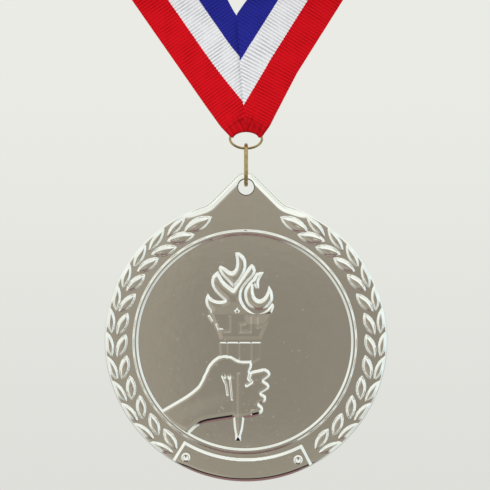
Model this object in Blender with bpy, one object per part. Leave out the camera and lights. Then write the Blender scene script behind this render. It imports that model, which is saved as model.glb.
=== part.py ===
"""Finisher medal: a struck disc with a pierced tab, hung by a wire link and an oval ring from a neck
ribbon whose spare length is folded into a tied hank.

The medal hangs in the XZ plane with its face towards -Y. The origin is on top of the hank, above the
medal. Lengths in this file are millimetres; MM turns them into Blender's metres.
"""
import math

import bmesh
import bpy

MM = 0.001

# Medal blank. Its own coordinates are X and Z about the centre of the disc.
DISC_RADIUS = 35.0
TAB_RADIUS = 3.75
TAB_FILLET = 5.0
HOLE_HEIGHT = 38.0
HOLE_RADIUS = 2.0
BACK_FACE = 1.5
BACK_RIM = 2.6
BACK_FIELD = 1.1
FRONT_FIELD = -0.9
RELIEF_TOP = -1.5
RELIEF_ROOT = -0.5
GUIDE_DEPTH = 4.0
DISC_STEPS = 96

# Raised features of the face.
RING_RADIUS = 27.1
RING_FOOT = 0.8
RING_CREST = 0.3
RING_SHIFT = (-0.3, -0.4)
RING_STEPS = 72
BORDER_WIDTH = 1.5
BORDER_END_DEG = 28.0
BANNER_INNER = 29.2
BANNER_OUTER = 34.7
BANNER_HALF_DEG = 30.0
RIVET_RADIUS = 31.8
RIVET_ANGLE_DEG = 26.5
RIVET_SIZE = 1.0
RIVET_RISE = 0.05
LEAF_STEP_DEG = 10.0
LEAF_CREST = 0.6
INNER_LEAVES = 13
INNER_LEAF_START_DEG = 22.5
INNER_LEAF_RADIUS = 30.75
INNER_LEAF_LEAN_DEG = -21.0
INNER_LEAF_LONGEST = 6.8
INNER_LEAF_SHORTEST = 5.4
INNER_LEAF_SHRINK = 0.4
INNER_LEAF_WIDTH = 2.3
INNER_LEAF_DROP = 0.05
OUTER_LEAVES = 12
OUTER_LEAF_START_DEG = 31.6
OUTER_LEAF_RADIUS = 33.5
OUTER_LEAF_LEAN_DEG = 13.0
OUTER_LEAF_LENGTH = 5.2
OUTER_LEAF_WIDTH = 1.8
OUTER_LEAF_DROP = 0.1

# Wire findings.
LINK_WIRE = 0.45
LINK_BEND = 2.45
LINK_FOOT = 38.55
LINK_HEAD = 48.4
LINK_PLAY = 0.25
RING_WIRE = 0.3
RING_HALF_WIDTH = 3.95
RING_HALF_HEIGHT = 2.4
WIRE_GAP = 0.1
BEND_STEPS = 14
OVAL_STEPS = 40

# Ribbon: a 20 mm woven tape.
TAPE_WIDTH = 20.0
TAPE_THICKNESS = 0.5
FIT_GAP = 0.3
FLEX_HEIGHT = 55.4
FLEX_GAP = 0.3
LEFT_EDGE = (-28.3, 84.3)
LEFT_LEAN_DEG = 34.9
LEFT_KINK = (-7.9, 56.0)
RIGHT_EDGE = (24.05, 84.3)
RIGHT_LEAN_DEG = 32.2
RIGHT_KINK = (6.8, 66.2)
SEAM_TOP = (-2.4, 80.6)
SEAM_FOOT = (-0.5, 55.4)
LOOP_HALF_WIDTH = 4.45
LOOP_THICKNESS = 1.8
LOOP_HEM = 0.5
LOOP_HEM_RISE = 0.45
LOOP_TOP = (-7.6, 6.6)
LOOP_TUNNEL = 0.12
LOOP_STEPS = 12
THREAD_RADIUS = 0.09
THREAD_SWAY = 0.39
STITCH_LENGTH = 2.2
STITCHES = 10
STITCH_STEPS = 4

# Hank of the ribbon's spare length, and the band that ties it.
HANK_FOOT = 87.0
HANK_LEFT = -33.0
HANK_RIGHT = 29.0
HANK_LAYERS = 12
HANK_PITCH = 0.62
BAND_CENTRE = -1.8
BAND_WIDTH = 4.0
BAND_THICKNESS = 0.6

HANK_TOP = HANK_FOOT + TAPE_WIDTH
HANK_DEPTH = (HANK_LAYERS - 1) * HANK_PITCH + TAPE_THICKNESS
RING_FOOT_HEIGHT = LINK_HEAD - LINK_WIRE - WIRE_GAP - RING_WIRE
RING_CENTRE = RING_FOOT_HEIGHT + RING_HALF_HEIGHT
SWING_HEIGHT = LINK_FOOT + LINK_PLAY

# How far below the highest relief the flat top of each raised feature lies.
DROPS = {
    "border": 0.02,
    "banner": 0.15,
    "hand": 0.04,
    "stem": 0.2,
    "shaft": 0.12,
    "bowl": 0.09,
    "flame_base": 0.06,
    "flame_top": 0.03,
    "flame_side": 0.01,
}

# Torch and hand of the face: outlines as stretches between corners, each a smooth curve.
FLAME_BASE = [
    [(-8.6, 6.2), (-9.6, 7.6), (-10.0, 9.8), (-9.5, 11.5)],
    [(-9.5, 11.5), (-8.6, 10.5), (-7.4, 9.8), (-5.5, 9.9)],
    [(-5.5, 9.9), (-7.1, 11.5), (-8.5, 13.8), (-8.3, 15.9), (-6.9, 17.1)],
    [(-6.9, 17.1), (-6.2, 15.6), (-4.9, 14.1), (-3.1, 12.6)],
    [(-3.1, 12.6), (-1.4, 14.9), (0.1, 17.4), (1.3, 18.7), (2.4, 17.2)],
    [(2.4, 17.2), (0.4, 14.4), (-1.1, 11.4), (0.3, 8.0), (2.9, 6.7), (5.0, 7.4), (6.6, 9.2)],
    [(6.6, 9.2), (6.9, 7.6), (6.3, 6.2)],
    [(6.3, 6.2), (-8.6, 6.2)],
]
FLAME_TOP = [
    [(-2.7, 21.6), (-1.0, 21.2), (0.0, 19.6), (-0.2, 17.2), (-1.4, 14.9), (-3.1, 13.0)],
    [(-3.1, 13.0), (-5.2, 15.1), (-6.6, 17.2), (-6.4, 18.5)],
    [(-6.4, 18.5), (-5.0, 17.8), (-3.6, 17.0), (-2.6, 17.9), (-2.4, 19.7), (-2.7, 21.6)],
]
FLAME_SIDE = [
    [(4.5, 16.9), (2.6, 16.5), (0.6, 13.9), (-0.4, 11.3), (0.5, 8.7), (3.3, 7.5), (5.9, 8.8), (6.7, 10.9),
     (5.6, 13.4)],
    [(5.6, 13.4), (4.9, 11.2), (3.4, 10.1), (2.1, 11.2), (2.1, 12.8), (3.2, 14.6), (4.5, 16.9)],
]
BOWL = [(-9.4, 6.3), (6.6, 6.3), (5.6, 3.6), (4.2, 1.2), (3.8, -0.3), (-6.6, -0.3), (-7.1, 1.6), (-8.4, 4.0)]
STEM = [(-6.6, -0.4), (3.8, -0.4), (3.4, -5.2), (1.2, -6.0), (-5.6, -6.0)]
SHAFT = [(-3.2, -18.0), (-0.4, -18.0), (-0.7, -22.7), (-2.0, -24.6), (-2.9, -22.7)]
HAND = [
    [(-21.6, -17.6), (-15.4, -14.2), (-11.8, -11.0), (-9.3, -6.2), (-6.2, -3.8), (-2.9, -4.1), (1.4, -5.0)],
    [(1.4, -5.0), (1.1, -7.9)],
    [(1.1, -7.9), (3.0, -7.5), (4.9, -7.1), (5.9, -8.6), (4.5, -10.0)],
    [(4.5, -10.0), (5.7, -11.5), (3.9, -13.1)],
    [(3.9, -13.1), (5.0, -14.6), (3.4, -15.9)],
    [(3.4, -15.9), (4.1, -17.4), (2.9, -18.5), (-0.5, -19.2)],
    [(-0.5, -19.2), (-3.2, -19.2), (-7.4, -19.9), (-11.4, -21.0), (-14.4, -23.4)],
    [(-14.4, -23.4), (-18.6, -21.0), (-21.6, -17.6)],
]


def clear_scene():
    for old in list(bpy.data.objects):
        bpy.data.objects.remove(old, do_unlink=True)


def make_material(name, colour, roughness, metallic=0.0):
    material = bpy.data.materials.new(name)
    material.use_nodes = True
    shader = material.node_tree.nodes["Principled BSDF"]
    shader.inputs["Base Color"].default_value = (*colour, 1.0)
    shader.inputs["Roughness"].default_value = roughness
    shader.inputs["Metallic"].default_value = metallic
    return material


def world(x, y, z):
    """A point of the medal's own coordinates in Blender's metres, from the origin on the hank."""
    return (x * MM, y * MM, (z - HANK_TOP) * MM)


def add_pivot(name, point, parent=None):
    """An empty on a joint's axis, under the piece that carries it."""
    pivot = bpy.data.objects.new(name, None)
    pivot.empty_display_size = 0.004
    bpy.context.collection.objects.link(pivot)
    pivot["point"] = world(*point)
    start = parent["point"] if parent else (0.0, 0.0, 0.0)
    pivot.location = [here - there for here, there in zip(pivot["point"], start)]
    pivot.parent = parent
    return pivot


def add_object(name, shape, material=None, pivot=None, smooth_deg=0.0):
    """Turns a bmesh in world metres into an object whose origin is its pivot. Edges that bend by less
    than smooth_deg are shaded smooth."""
    bmesh.ops.recalc_face_normals(shape, faces=shape.faces)
    if pivot:
        bmesh.ops.translate(shape, verts=shape.verts, vec=[-value for value in pivot["point"]])
    mesh = bpy.data.meshes.new(name)
    shape.to_mesh(mesh)
    shape.free()
    if smooth_deg:
        mesh.shade_smooth()
        mesh.set_sharp_from_angle(angle=math.radians(smooth_deg))
    piece = bpy.data.objects.new(name, mesh)
    bpy.context.collection.objects.link(piece)
    piece.parent = pivot
    if material:
        mesh.materials.append(material)
    return piece


def combine(piece, tool, operation):
    """Adds or cuts with a tool object, which stays as a hidden guide."""
    modifier = piece.modifiers.new(operation.title() + " " + tool.name, "BOOLEAN")
    modifier.object = tool
    modifier.operation = operation
    modifier.solver = "EXACT"
    tool.hide_render = True
    tool.display_type = "WIRE"


def add_slab(shape, outline, front, back, crest=1.0):
    """A closed slab between two planes across Y. crest shrinks its front about its middle."""
    middle_x = sum(x for x, _ in outline) / len(outline)
    middle_z = sum(z for _, z in outline) / len(outline)
    near = [
        shape.verts.new(world(middle_x + (x - middle_x) * crest, front, middle_z + (z - middle_z) * crest))
        for x, z in outline
    ]
    far = [shape.verts.new(world(x, back, z)) for x, z in outline]
    shape.faces.new(near)
    shape.faces.new(far[::-1])
    for index, corner in enumerate(near):
        following = (index + 1) % len(near)
        shape.faces.new((corner, far[index], far[following], near[following]))


def slab(name, outline, front, back, material=None, pivot=None):
    shape = bmesh.new()
    add_slab(shape, outline, front, back)
    return add_object(name, shape, material, pivot)


def arc(centre, radius, start_deg, end_deg, steps):
    """Points on an arc, both ends included; degrees from +X towards +Z."""
    turn = (end_deg - start_deg) / steps
    angles = [math.radians(start_deg + turn * step) for step in range(steps + 1)]
    return [(centre[0] + radius * math.cos(a), centre[1] + radius * math.sin(a)) for a in angles]


def smooth_outline(stretches, steps=2):
    """A closed outline through each stretch's points, smooth inside a stretch, sharp between two."""
    outline = []
    for stretch in stretches:
        points = [stretch[0], *stretch, stretch[-1]]
        for index in range(1, len(points) - 2):
            before, start, end, after = points[index - 1 : index + 3]
            for step in range(steps):
                t = step / steps
                outline.append(tuple(
                    0.5 * (2 * b + (c - a) * t + (2 * a - 5 * b + 4 * c - d) * t * t
                           + (3 * b - a - 3 * c + d) * t ** 3)
                    for a, b, c, d in zip(before, start, end, after)
                ))
    return outline


def blank_edge(offset, end_deg=180.0):
    """The blank's edge moved inwards, from one side of the tab to the other; end_deg is counted from
    the top of the disc, and 180 closes the edge at the bottom."""
    slope = math.sqrt(0.5)
    reach = slope * HOLE_HEIGHT + TAB_RADIUS + TAB_FILLET
    across = math.sqrt((DISC_RADIUS + TAB_FILLET) ** 2 - reach ** 2)
    fillet = (slope * (reach - across), slope * (reach + across))
    meet_deg = math.degrees(math.atan2(fillet[1], fillet[0]))
    steps = round(DISC_STEPS * (end_deg - 90.0 + meet_deg) / 360.0)
    side = arc((0.0, HOLE_HEIGHT), TAB_RADIUS - offset, 90.0, 45.0, 6)
    side += arc(fillet, TAB_FILLET + offset, 225.0, meet_deg + 180.0, 3)
    side += arc((0.0, 0.0), DISC_RADIUS - offset, meet_deg, 90.0 - end_deg, steps)[1:]
    other = [(-x, z) for x, z in side[1:]]
    if end_deg == 180.0:
        other = other[:-1]
    return other[::-1] + side


def border_outline():
    """The bead that follows the tab and fades into the wreath on both sides."""
    outer = blank_edge(0.05, BORDER_END_DEG)
    inner = blank_edge(BORDER_WIDTH, BORDER_END_DEG)
    return outer + inner[::-1]


def banner_outline():
    low, high = -90.0 - BANNER_HALF_DEG, -90.0 + BANNER_HALF_DEG
    outer = arc((0.0, 0.0), BANNER_OUTER, low, high, 16)
    inner = arc((0.0, 0.0), BANNER_INNER, high, low, 16)
    return outer + inner


def leaf_outline(angle_deg, radius, lean_deg, length, width, side):
    """A pointed oval leaf. Its angle is counted from the top of the disc; side is -1 or 1."""
    bow = (length * length / 4.0 + width * width / 4.0) / width
    half = math.degrees(math.asin(length / 2.0 / bow))
    near = arc((0.0, width / 2.0 - bow), bow, 90.0 + half, 90.0 - half, 4)
    far = [(-x, -z) for x, z in near]
    turn = math.radians(90.0 - angle_deg)
    heading = math.radians(angle_deg + lean_deg)
    middle = (-radius * math.cos(turn), radius * math.sin(turn))
    placed = []
    for x, z in near[:-1] + far[:-1]:
        along = middle[0] + x * math.cos(heading) - z * math.sin(heading)
        up = middle[1] + x * math.sin(heading) + z * math.cos(heading)
        placed.append((along * -side, up))
    return placed


def make_leaves():
    shape = bmesh.new()
    for side in (-1, 1):
        for index in range(INNER_LEAVES):
            angle = INNER_LEAF_START_DEG + LEAF_STEP_DEG * index
            length = max(INNER_LEAF_SHORTEST, INNER_LEAF_LONGEST - INNER_LEAF_SHRINK * index)
            outline = leaf_outline(
                angle, INNER_LEAF_RADIUS, INNER_LEAF_LEAN_DEG, length, INNER_LEAF_WIDTH, side
            )
            add_slab(shape, outline, RELIEF_TOP + INNER_LEAF_DROP, RELIEF_ROOT, LEAF_CREST)
        for index in range(OUTER_LEAVES):
            angle = OUTER_LEAF_START_DEG + LEAF_STEP_DEG * index
            outline = leaf_outline(
                angle, OUTER_LEAF_RADIUS, OUTER_LEAF_LEAN_DEG, OUTER_LEAF_LENGTH, OUTER_LEAF_WIDTH, side
            )
            add_slab(shape, outline, RELIEF_TOP + OUTER_LEAF_DROP, RELIEF_ROOT, LEAF_CREST)
    return add_object("leaf_guide", shape)


def make_turned_ring(name, profile, steps):
    """A ring turned about the disc's axis, from a closed profile of radius and Y."""
    shape = bmesh.new()
    rows = []
    for step in range(steps):
        angle = math.tau * step / steps
        across, up = math.cos(angle), math.sin(angle)
        rows.append([
            shape.verts.new(world(RING_SHIFT[0] + r * across, y, RING_SHIFT[1] + r * up)) for r, y in profile
        ])
    for step, row in enumerate(rows):
        following = rows[(step + 1) % steps]
        for index in range(len(profile)):
            onward = (index + 1) % len(profile)
            shape.faces.new((row[index], row[onward], following[onward], following[index]))
    return add_object(name, shape)


def make_medal(silver, pivot):
    medal = slab("medal_disc", blank_edge(0.0), FRONT_FIELD, BACK_FACE, silver, pivot)

    recess = arc((0.0, 0.0), DISC_RADIUS - BACK_RIM, 0.0, 360.0 - 360.0 / DISC_STEPS, DISC_STEPS - 1)
    back_field = slab("back_field_guide", recess, BACK_FIELD, GUIDE_DEPTH)
    combine(medal, back_field, "DIFFERENCE")

    foot, crest = RING_RADIUS - RING_FOOT, RING_RADIUS - RING_CREST
    foot_out, crest_out = RING_RADIUS + RING_FOOT, RING_RADIUS + RING_CREST
    profile = [(foot, RELIEF_ROOT), (foot, FRONT_FIELD), (crest, RELIEF_TOP)]
    profile += [(crest_out, RELIEF_TOP), (foot_out, FRONT_FIELD), (foot_out, RELIEF_ROOT)]
    combine(medal, make_turned_ring("ring_guide", profile, RING_STEPS), "UNION")

    combine(medal, make_leaves(), "UNION")
    raised = {
        "border": border_outline(),
        "banner": banner_outline(),
        "hand": smooth_outline(HAND),
        "stem": STEM,
        "shaft": SHAFT,
        "bowl": BOWL,
        "flame_base": smooth_outline(FLAME_BASE),
        "flame_top": smooth_outline(FLAME_TOP),
        "flame_side": smooth_outline(FLAME_SIDE),
    }
    for name, outline in raised.items():
        combine(medal, slab(name + "_guide", outline, RELIEF_TOP + DROPS[name], RELIEF_ROOT), "UNION")
    for side in (-1, 1):
        turn = math.radians(-90.0 + side * RIVET_ANGLE_DEG)
        middle = (RIVET_RADIUS * math.cos(turn), RIVET_RADIUS * math.sin(turn))
        outline = arc(middle, RIVET_SIZE, 0.0, 337.5, 15)
        dot = slab("rivet_guide_%d" % (side + 2), outline, RELIEF_TOP - RIVET_RISE, FRONT_FIELD)
        combine(medal, dot, "UNION")

    rim = arc((0.0, HOLE_HEIGHT), HOLE_RADIUS, 0.0, 345.0, 23)
    hole = slab("hole_guide", rim, -GUIDE_DEPTH, GUIDE_DEPTH)
    combine(medal, hole, "DIFFERENCE")


def make_wire(name, path, radius, sides, normal, material, pivot, closed=True):
    """A round wire along a flat path of 3-D points, with normal across the path."""
    shape = bmesh.new()
    rows = []
    for index, point in enumerate(path):
        before, after = path[index - 1], path[(index + 1) % len(path)]
        if not closed:
            before, after = path[max(index - 1, 0)], path[min(index + 1, len(path) - 1)]
        along = [b - a for a, b in zip(before, after)]
        size = math.sqrt(sum(value * value for value in along))
        along = [value / size for value in along]
        side = [
            normal[1] * along[2] - normal[2] * along[1],
            normal[2] * along[0] - normal[0] * along[2],
            normal[0] * along[1] - normal[1] * along[0],
        ]
        row = []
        for step in range(sides):
            angle = math.tau * (step + 0.5) / sides
            spot = [
                p + radius * (math.cos(angle) * n + math.sin(angle) * s)
                for p, n, s in zip(point, normal, side)
            ]
            row.append(shape.verts.new(world(*spot)))
        rows.append(row)
    pairs = zip(rows, rows[1:] + rows[:1]) if closed else zip(rows, rows[1:])
    for row, following in pairs:
        for step in range(sides):
            onward = (step + 1) % sides
            shape.faces.new((row[step], row[onward], following[onward], following[step]))
    if not closed:
        shape.faces.new(rows[0])
        shape.faces.new(rows[-1][::-1])
    return add_object(name, shape, material, pivot, 60.0)


def ring_path(steps):
    angles = [math.tau * step / steps for step in range(steps)]
    return [
        (RING_HALF_WIDTH * math.cos(a), 0.0, RING_CENTRE + RING_HALF_HEIGHT * math.sin(a)) for a in angles
    ]


def make_link(brass, pivot):
    top = arc((0.0, LINK_HEAD - LINK_BEND), LINK_BEND, 0.0, 180.0, BEND_STEPS)
    bottom = arc((0.0, LINK_FOOT + LINK_BEND), LINK_BEND, 180.0, 360.0, BEND_STEPS)
    path = [(0.0, y, z) for y, z in top + bottom]
    make_wire("connecting_link", path, LINK_WIRE, 12, (1.0, 0.0, 0.0), brass, pivot)


def edge_at(edge, lean_deg, height, inwards):
    """Where the line of a ribbon edge crosses a height, moved inwards along X."""
    spread = (height - edge[1]) * math.tan(math.radians(lean_deg))
    return edge[0] + (inwards - spread if edge[0] < 0.0 else spread - inwards)


def seam_point(share):
    """A point of the seam between the arms, from its foot at 0 to its top at 1."""
    return [foot + (top - foot) * share for foot, top in zip(SEAM_FOOT, SEAM_TOP)]


def make_arm(name, edge, lean_deg, kink, fabric):
    """One arm of the V: it rises from the seam and leans away to the middle layer of the hank. Its
    outer edge drops straight from the kink."""
    side = -1.0 if edge[0] < 0.0 else 1.0
    top = HANK_FOOT - FIT_GAP
    foot = FLEX_HEIGHT + FLEX_GAP
    wide = TAPE_WIDTH / math.cos(math.radians(lean_deg))
    gap = side * FIT_GAP / 2.0
    outline = [
        (edge_at(edge, lean_deg, top, 0.0), top),
        (edge_at(edge, lean_deg, top, wide), top),
        (SEAM_TOP[0] + gap, SEAM_TOP[1]),
        (SEAM_FOOT[0] + gap, foot),
        (kink[0], foot),
        (edge_at(edge, lean_deg, kink[1], 0.0), kink[1]),
    ]
    slab(name, outline, -TAPE_THICKNESS / 2.0, TAPE_THICKNESS / 2.0, fabric)


def make_seam_thread(cotton):
    """One thread through both edges of the seam, over and under the ribbon in turn."""
    steps = STITCHES * STITCH_STEPS
    path = []
    for step in range(steps + 1):
        length = STITCHES * STITCH_LENGTH * (step / steps - 0.5)
        x, z = seam_point(0.5 + length / (SEAM_TOP[1] - SEAM_FOOT[1]))
        path.append((x, THREAD_SWAY * math.sin(math.pi * step / STITCH_STEPS), z))
    make_wire("seam_thread", path, THREAD_RADIUS, 6, (1.0, 0.0, 0.0), cotton, None, closed=False)


def make_ring_loop(fabric, pivot):
    """The gathered end of the ribbon, wrapped round the top of the oval ring and thinner at its top."""
    top = FLEX_HEIGHT - FLEX_GAP
    hem = RING_CENTRE + LOOP_HEM_RISE
    inner_wide = RING_HALF_WIDTH - LOOP_HEM
    inner_high = RING_HALF_HEIGHT - RING_WIRE - LOOP_HEM
    start = math.asin((hem - RING_CENTRE) / inner_high)
    arch = []
    for step in range(LOOP_STEPS + 1):
        angle = start + (math.pi - 2.0 * start) * step / LOOP_STEPS
        arch.append((inner_wide * math.cos(angle), RING_CENTRE + inner_high * math.sin(angle)))
    outline = arch + [(-LOOP_HALF_WIDTH, hem), (LOOP_TOP[0], top), (LOOP_TOP[1], top), (LOOP_HALF_WIDTH, hem)]
    half = LOOP_THICKNESS / 2.0
    loop = slab("ribbon_ring_loop", outline, -half, half, fabric, pivot)
    highest = max(vertex.co.z for vertex in loop.data.vertices)
    for vertex in loop.data.vertices:
        if vertex.co.z == highest:
            vertex.co.y /= 2.0
    path = ring_path(OVAL_STEPS)
    tunnel = make_wire("ring_tunnel_guide", path, RING_WIRE + LOOP_TUNNEL, 10, (0.0, 1.0, 0.0), None, None)
    combine(loop, tunnel, "DIFFERENCE")


def make_hank(fabric):
    """The outer shape of eleven folded runs, with the arms' ends between them: an outline with round
    ends, drawn up through the tape's width."""
    half = HANK_DEPTH / 2.0
    right = arc((HANK_RIGHT - half, 0.0), half, -90.0, 90.0, 8)
    left = arc((HANK_LEFT + half, 0.0), half, 90.0, 270.0, 8)
    shape = bmesh.new()
    low = [shape.verts.new(world(x, y, HANK_FOOT)) for x, y in right + left]
    high = [shape.verts.new(world(x, y, HANK_TOP)) for x, y in right + left]
    shape.faces.new(low[::-1])
    shape.faces.new(high)
    for index in range(len(low)):
        onward = (index + 1) % len(low)
        shape.faces.new((low[index], low[onward], high[onward], high[index]))
    add_object("ribbon_hank", shape, fabric)


def make_band(elastic):
    """A flat band closed round the middle of the hank."""
    inner = (HANK_DEPTH / 2.0 + FIT_GAP, HANK_FOOT - FIT_GAP, HANK_TOP + FIT_GAP)
    outer = (inner[0] + BAND_THICKNESS, inner[1] - BAND_THICKNESS, inner[2] + BAND_THICKNESS)
    shape = bmesh.new()
    rows = []
    for x in (BAND_CENTRE - BAND_WIDTH / 2.0, BAND_CENTRE + BAND_WIDTH / 2.0):
        for depth, low, high in (inner, outer):
            corners = ((-depth, low), (depth, low), (depth, high), (-depth, high))
            rows.append([shape.verts.new(world(x, y, z)) for y, z in corners])
    for near, far in ((0, 1), (1, 3), (3, 2), (2, 0)):
        for index in range(4):
            onward = (index + 1) % 4
            shape.faces.new((rows[near][index], rows[near][onward], rows[far][onward], rows[far][index]))
    add_object("hank_band", shape, elastic)


def build():
    clear_scene()
    silver = make_material("silver_plate", (0.66, 0.64, 0.60), 0.12, 1.0)
    brass = make_material("antique_brass", (0.55, 0.42, 0.20), 0.3, 1.0)
    fabric = make_material("woven_ribbon", (0.72, 0.03, 0.04), 0.85)
    elastic = make_material("elastic_band", (0.86, 0.85, 0.81), 0.9)
    cotton = make_material("sewing_thread", (0.72, 0.72, 0.72), 0.9)

    ring_pivot = add_pivot("ring_pivot", (0.0, 0.0, FLEX_HEIGHT))
    link_pivot = add_pivot("link_pivot", (0.0, 0.0, RING_FOOT_HEIGHT), ring_pivot)
    medal_pivot = add_pivot("medal_pivot", (0.0, 0.0, SWING_HEIGHT), link_pivot)

    make_hank(fabric)
    make_band(elastic)
    make_arm("ribbon_left_arm", LEFT_EDGE, LEFT_LEAN_DEG, LEFT_KINK, fabric)
    make_arm("ribbon_right_arm", RIGHT_EDGE, RIGHT_LEAN_DEG, RIGHT_KINK, fabric)
    make_seam_thread(cotton)
    make_ring_loop(fabric, ring_pivot)
    make_wire("oval_ring", ring_path(OVAL_STEPS), RING_WIRE, 10, (0.0, 1.0, 0.0), brass, ring_pivot)
    make_link(brass, link_pivot)
    make_medal(silver, medal_pivot)


build()
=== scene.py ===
"""Looks of the finisher medal: a struck silver disc on a wire link, an oval ring and a striped neck
ribbon, whose spare length is folded into a hank above it.

Lengths are millimetres. Shapes are worked out in the medal's own coordinates, X and Z about the
centre of the disc with its face towards -Y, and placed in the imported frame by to_row().
"""

import math

import bpy
import numpy as np
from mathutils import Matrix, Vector, geometry


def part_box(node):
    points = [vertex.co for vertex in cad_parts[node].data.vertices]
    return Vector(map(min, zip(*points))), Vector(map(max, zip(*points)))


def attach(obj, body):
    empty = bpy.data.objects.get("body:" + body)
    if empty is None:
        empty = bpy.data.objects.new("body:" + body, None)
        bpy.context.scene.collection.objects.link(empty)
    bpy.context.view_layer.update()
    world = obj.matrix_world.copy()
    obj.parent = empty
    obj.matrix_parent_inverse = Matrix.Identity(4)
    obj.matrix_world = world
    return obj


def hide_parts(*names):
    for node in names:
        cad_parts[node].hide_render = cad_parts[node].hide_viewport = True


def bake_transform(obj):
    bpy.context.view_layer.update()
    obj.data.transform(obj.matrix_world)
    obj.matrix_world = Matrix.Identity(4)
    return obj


MM = 0.001

# Medal blank.
DISC_RADIUS = 35.0
TAB_RADIUS = 3.75
TAB_FILLET = 5.0
HOLE_HEIGHT = 38.0
HOLE_RADIUS = 1.9
RIM_ROUND = 0.38
HOLE_ROUND = 0.28
FIELD = 0.9
BACK_FACE = 1.5
BACK_FIELD = 1.1
BACK_RECESS = 32.4
BACK_LINE = 2.6

# Raised ring, banner and wreath.
RING_RADIUS = 27.1
RING_SHIFT = (-0.3, -0.4)
RING_HALF = 0.76
RING_RISE = 0.42
BANNER_INNER = 29.2
BANNER_OUTER = 34.9
BANNER_ENDS_DEG = (-31.6, 28.2)
BANNER_RISE = 0.36
RIVETS = ((-14.9, -29.0), (12.9, -29.6))
LEAF_STEP_DEG = 10.0
INNER_LEAVES = 13
INNER_LEAF_RISE = 0.48
OUTER_LEAVES = 12
OUTER_LEAF_WIDTH = 2.1
OUTER_LEAF_RISE = 0.42

# Wire findings.
LINK_WIRE = 0.5
LINK_BEND = 2.45
LINK_FOOT = 38.55
LINK_HEAD = 48.4
RING_WIRE = 0.3
RING_HALF_WIDTH = 3.95
RING_HALF_HEIGHT = 2.4
RING_CENTRE = 49.95

# Ribbon. SHARES are the places of its columns of points, from the red edge to the blue one. CORNER is
# where each red edge reaches the ring, and FLEX_HEIGHT is the middle of the bend above the ring.
TAPE_WIDTH = 20.0
TAPE_THICKNESS = 0.42
RED_TO_WHITE = 7.4
WHITE_TO_BLUE = 13.6
RIB_PITCH = 0.78
RIB_DEPTH = 0.085
ROW_STEP = RIB_PITCH / 3.0
SHARES = np.sort(np.append(np.linspace(0.0, 1.0, 13), (0.015, 0.985)))
COLUMNS = len(SHARES) - 1
WRAP_RADIUS = 0.58
CORNER = (4.45, 50.4)
SEAM_FOOT = (-0.5, 55.4)
SEAM_TOP = (-2.4, 80.6)
SEAM_SINK = 0.4
GATHER = 3.8
FLAP = 8.5
HANK_FOOT = 87.0
HANK_LEFT = -33.0
HANK_RIGHT = 29.0
LAYER = 0.62
FLEX_HEIGHT = 55.4
FLEX_HALF = 1.3
THREAD = 0.1

# Elastic tie: its middle across the hank, and its half width and half depth.
TIE_X = -1.8
TIE_HALF_WIDTH = 2.0
TIE_HALF_DEPTH = 3.95
TIE_CORNER = 1.2
TIE_CLEAR = 0.55

# Studio. The floor and the lamp are in metres; what the silver mirrors is placed by components of a
# direction: the room's half width, half height and drop, and where the gap and the strip begin.
FLOOR_RADIUS = 0.5
FLOOR_DROP = 0.045
LAMP_PLACE = (-0.14, -0.56, -0.1)
LAMP_AIM = (0.0, 0.0, -0.06)
LAMP_SIZE = 0.25
LAMP_POWER = 3.15
ROOM_WIDE = 0.42
ROOM_TALL = 0.36
ROOM_DROP = 0.2
GAP_TOP = (-0.45, -0.53)
BROWN_TOP = (-0.66, -0.74)

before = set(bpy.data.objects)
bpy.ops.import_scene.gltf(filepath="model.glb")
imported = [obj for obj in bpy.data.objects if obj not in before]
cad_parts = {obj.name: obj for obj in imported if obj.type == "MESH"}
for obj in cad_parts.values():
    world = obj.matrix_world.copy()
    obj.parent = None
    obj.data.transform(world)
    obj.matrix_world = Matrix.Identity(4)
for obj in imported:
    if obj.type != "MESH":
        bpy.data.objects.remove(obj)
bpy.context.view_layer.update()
CENTRE_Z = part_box("medal_disc")[0].z / MM + DISC_RADIUS


def to_row(points):
    """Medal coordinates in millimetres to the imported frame's metres."""
    placed = np.array(points, float).reshape(-1, 3)
    placed[:, 2] += CENTRE_Z
    return placed * MM


def add_piece(name, points, faces, material, body=None, smooth_deg=None, normals=None, uv=None):
    """A mesh piece from points in medal coordinates."""
    mesh = bpy.data.meshes.new(name)
    mesh.from_pydata(to_row(points).tolist(), [], [tuple(map(int, face)) for face in faces])
    mesh.validate()
    mesh.materials.append(material)
    if uv is not None:
        layer = mesh.uv_layers.new(name="tape")
        corners = np.empty(len(mesh.loops), int)
        mesh.loops.foreach_get("vertex_index", corners)
        layer.data.foreach_set("uv", np.asarray(uv, np.float32)[corners].ravel())
    mesh.shade_smooth()
    if smooth_deg:
        mesh.set_sharp_from_angle(angle=math.radians(smooth_deg))
    if normals is not None:
        mesh.normals_split_custom_set_from_vertices(np.asarray(normals, float).tolist())
    piece = bpy.data.objects.new(name, mesh)
    bpy.context.scene.collection.objects.link(piece)
    if body:
        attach(piece, body)
    return piece


def arc(centre, radius, angles_deg):
    """Points on a circle, at angles counted from +X towards +Z."""
    angles = np.radians(angles_deg)
    return np.column_stack((centre[0] + radius * np.cos(angles), centre[1] + radius * np.sin(angles)))


def net_quads(index, joined=False, flipped=False):
    """Quads between neighbours in an array of point numbers; joined closes each of its rows."""
    if joined:
        index = np.hstack((index, index[:, :1]))
    corners = (index[:-1, :-1], index[:-1, 1:], index[1:, 1:], index[1:, :-1])
    quads = np.column_stack([corner.ravel() for corner in corners])
    return quads[:, (0, 3, 2, 1)] if flipped else quads


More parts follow.
